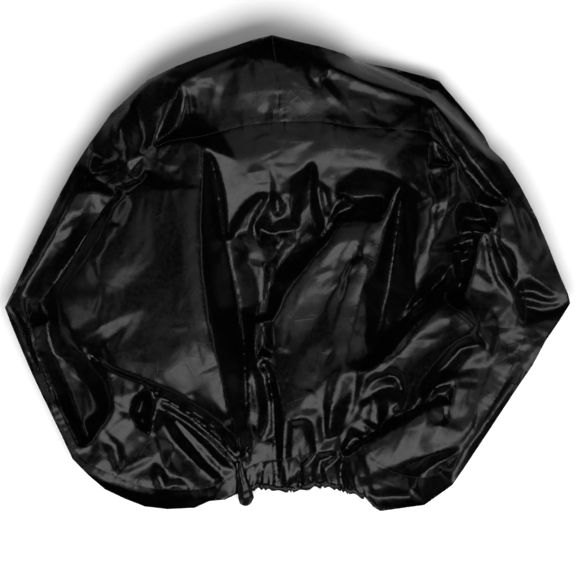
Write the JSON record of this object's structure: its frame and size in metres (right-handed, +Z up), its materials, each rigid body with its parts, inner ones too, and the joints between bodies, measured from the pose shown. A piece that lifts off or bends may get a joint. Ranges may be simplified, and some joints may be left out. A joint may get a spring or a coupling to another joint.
{
  "type": "spare tyre cover",
  "caption": "Soft black coated-cloth cover for a spare tyre, with a round face, a tread band and an elastic hem, laid flat.",
  "frame": {"origin": "on the floor under the middle of the cover's box, as it lies on its mouth side", "axes": "+X to the right across the cover's widest part, +Y from the mouth's front edge to the crown, +Z up from the floor through the face"},
  "size_m": [0.801, 0.6719, 0.0999],
  "materials": {
    "cover_cloth": "thin black coated polyester taffeta, glossy and creased",
    "hem_cloth": "the same coated cloth turned over and gathered into fine ruffles",
    "hem_elastic": "braided black elastic, matt",
    "sewing_thread": "black polyester sewing thread, slightly glossy"
  },
  "bodies": {
    "root": {"front_face_panel": "cover_cloth", "tread_band_right": "cover_cloth", "tread_band_left": "cover_cloth", "hem_casing": "hem_cloth", "hem_tab": "hem_cloth", "hem_elastic": "hem_elastic", "face_seam_thread": "sewing_thread", "crown_seam_thread": "sewing_thread", "mouth_seam_thread": "sewing_thread", "hem_thread": "sewing_thread", "elastic_join_tacks": "sewing_thread"}
  },
  "joints": []
}
